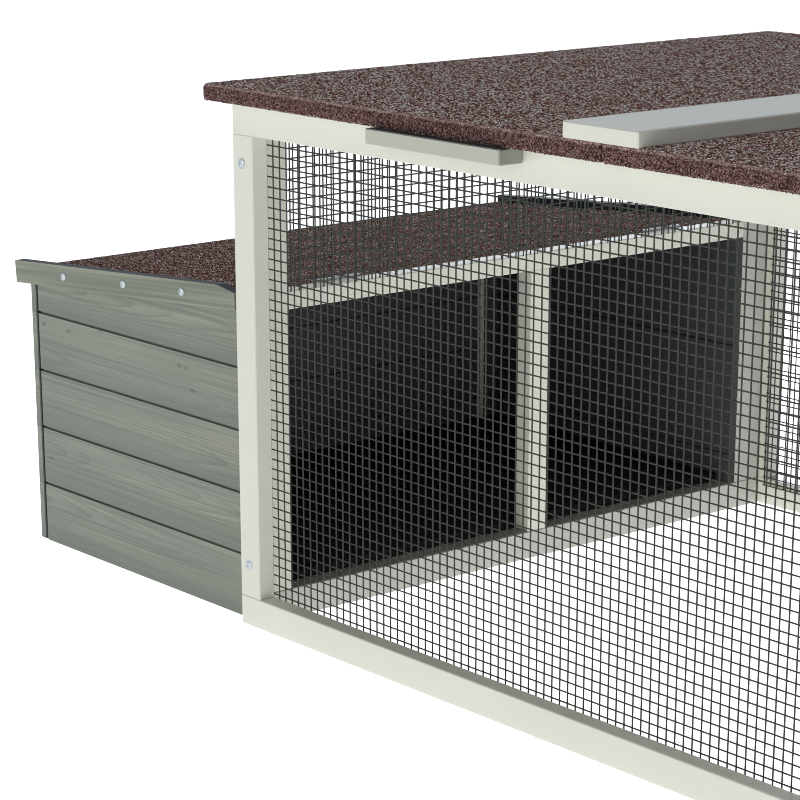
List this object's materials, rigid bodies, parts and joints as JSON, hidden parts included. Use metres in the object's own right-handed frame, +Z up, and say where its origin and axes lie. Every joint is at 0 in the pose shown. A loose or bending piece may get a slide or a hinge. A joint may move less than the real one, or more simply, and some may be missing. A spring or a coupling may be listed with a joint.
{
  "type": "wooden chicken coop with run",
  "caption": "Low boarded hen house with a lifting felted lid, joined to a wire-mesh run on a painted timber frame whose felted roof has a lifting lid",
  "frame": {"origin": "middle of the footprint, on the ground", "axes": "X along the length from the coop to the run, Y from the front to the back, Z up"},
  "size_m": [1.913, 1.0384, 0.718],
  "materials": {
    "frame_paint": "satin off-white paint",
    "grip_paint": "satin light grey paint",
    "coop_glaze": "grey-green wood glaze",
    "roof_felt": "mineral roofing felt",
    "roof_board": "bare sheathing board",
    "mesh_wire": "dark coated wire",
    "hinge_steel": "zinc plated"
  },
  "bodies": {
    "frame": {"front_bottom_rail": "frame_paint", "front_top_rail": "frame_paint", "front_left_post": "frame_paint", "front_right_post": "frame_paint", "back_bottom_rail": "frame_paint", "back_top_rail": "frame_paint", "back_left_post": "frame_paint", "back_right_post": "frame_paint", "left_bottom_rail": "frame_paint", "left_top_rail": "frame_paint", "left_front_stile": "frame_paint", "left_back_stile": "frame_paint", "right_bottom_rail": "frame_paint", "right_top_rail": "frame_paint", "right_front_stile": "frame_paint", "right_back_stile": "frame_paint", "doorway_head_rail": "frame_paint", "doorway_middle_post": "frame_paint", "roof_bearer": "frame_paint", "front_mesh": "mesh_wire", "back_mesh": "mesh_wire", "left_mesh": "mesh_wire", "right_mesh": "mesh_wire", "coop_front_board_1": "coop_glaze", "coop_front_board_2": "coop_glaze", "coop_front_board_3": "coop_glaze", "coop_front_board_4": "coop_glaze", "coop_front_board_5": "coop_glaze", "coop_back_board_1": "coop_glaze", "coop_back_board_2": "coop_glaze", "coop_back_board_3": "coop_glaze", "coop_back_board_4": "coop_glaze", "coop_back_board_5": "coop_glaze", "coop_outer_board_1": "coop_glaze", "coop_outer_board_2": "coop_glaze", "coop_outer_board_3": "coop_glaze", "coop_outer_board_4": "coop_glaze", "coop_outer_board_5": "coop_glaze", "coop_front_corner_post": "coop_glaze", "coop_back_corner_post": "coop_glaze", "coop_front_batten": "coop_glaze", "coop_back_batten": "coop_glaze", "coop_floor": "coop_glaze", "floor_outer_bearer": "coop_glaze", "floor_inner_bearer": "coop_glaze", "fixed_roof_board": "roof_board", "fixed_roof_felt": "roof_felt", "coop_hinge_frame_leaves": "hinge_steel", "run_hinge_frame_leaves": "hinge_steel", "hinge_pins": "hinge_steel"},
    "coop_lid": {"coop_lid_board": "roof_board", "coop_lid_felt": "roof_felt", "coop_lid_front_fascia": "coop_glaze", "coop_lid_back_fascia": "coop_glaze", "coop_hinge_lid_leaves": "hinge_steel"},
    "run_lid": {"run_lid_board": "roof_board", "run_lid_felt": "roof_felt", "seam_strip": "frame_paint", "grip_block": "grip_paint", "run_hinge_lid_leaves": "hinge_steel"}
  },
  "joints": [
    {"name": "coop_lid_hinge", "type": "hinge", "parent": "frame", "child": "coop_lid", "pos_m": [-0.43599, -0.01975, 0.43698], "axis": [0, 1, 0], "range_deg": [0, 82]},
    {"name": "run_lid_hinge", "type": "hinge", "parent": "frame", "child": "run_lid", "pos_m": [-0.10899, 0.5037, 0.67655], "axis": [-1, 0, 0], "range_deg": [0, 95]}
  ]
}
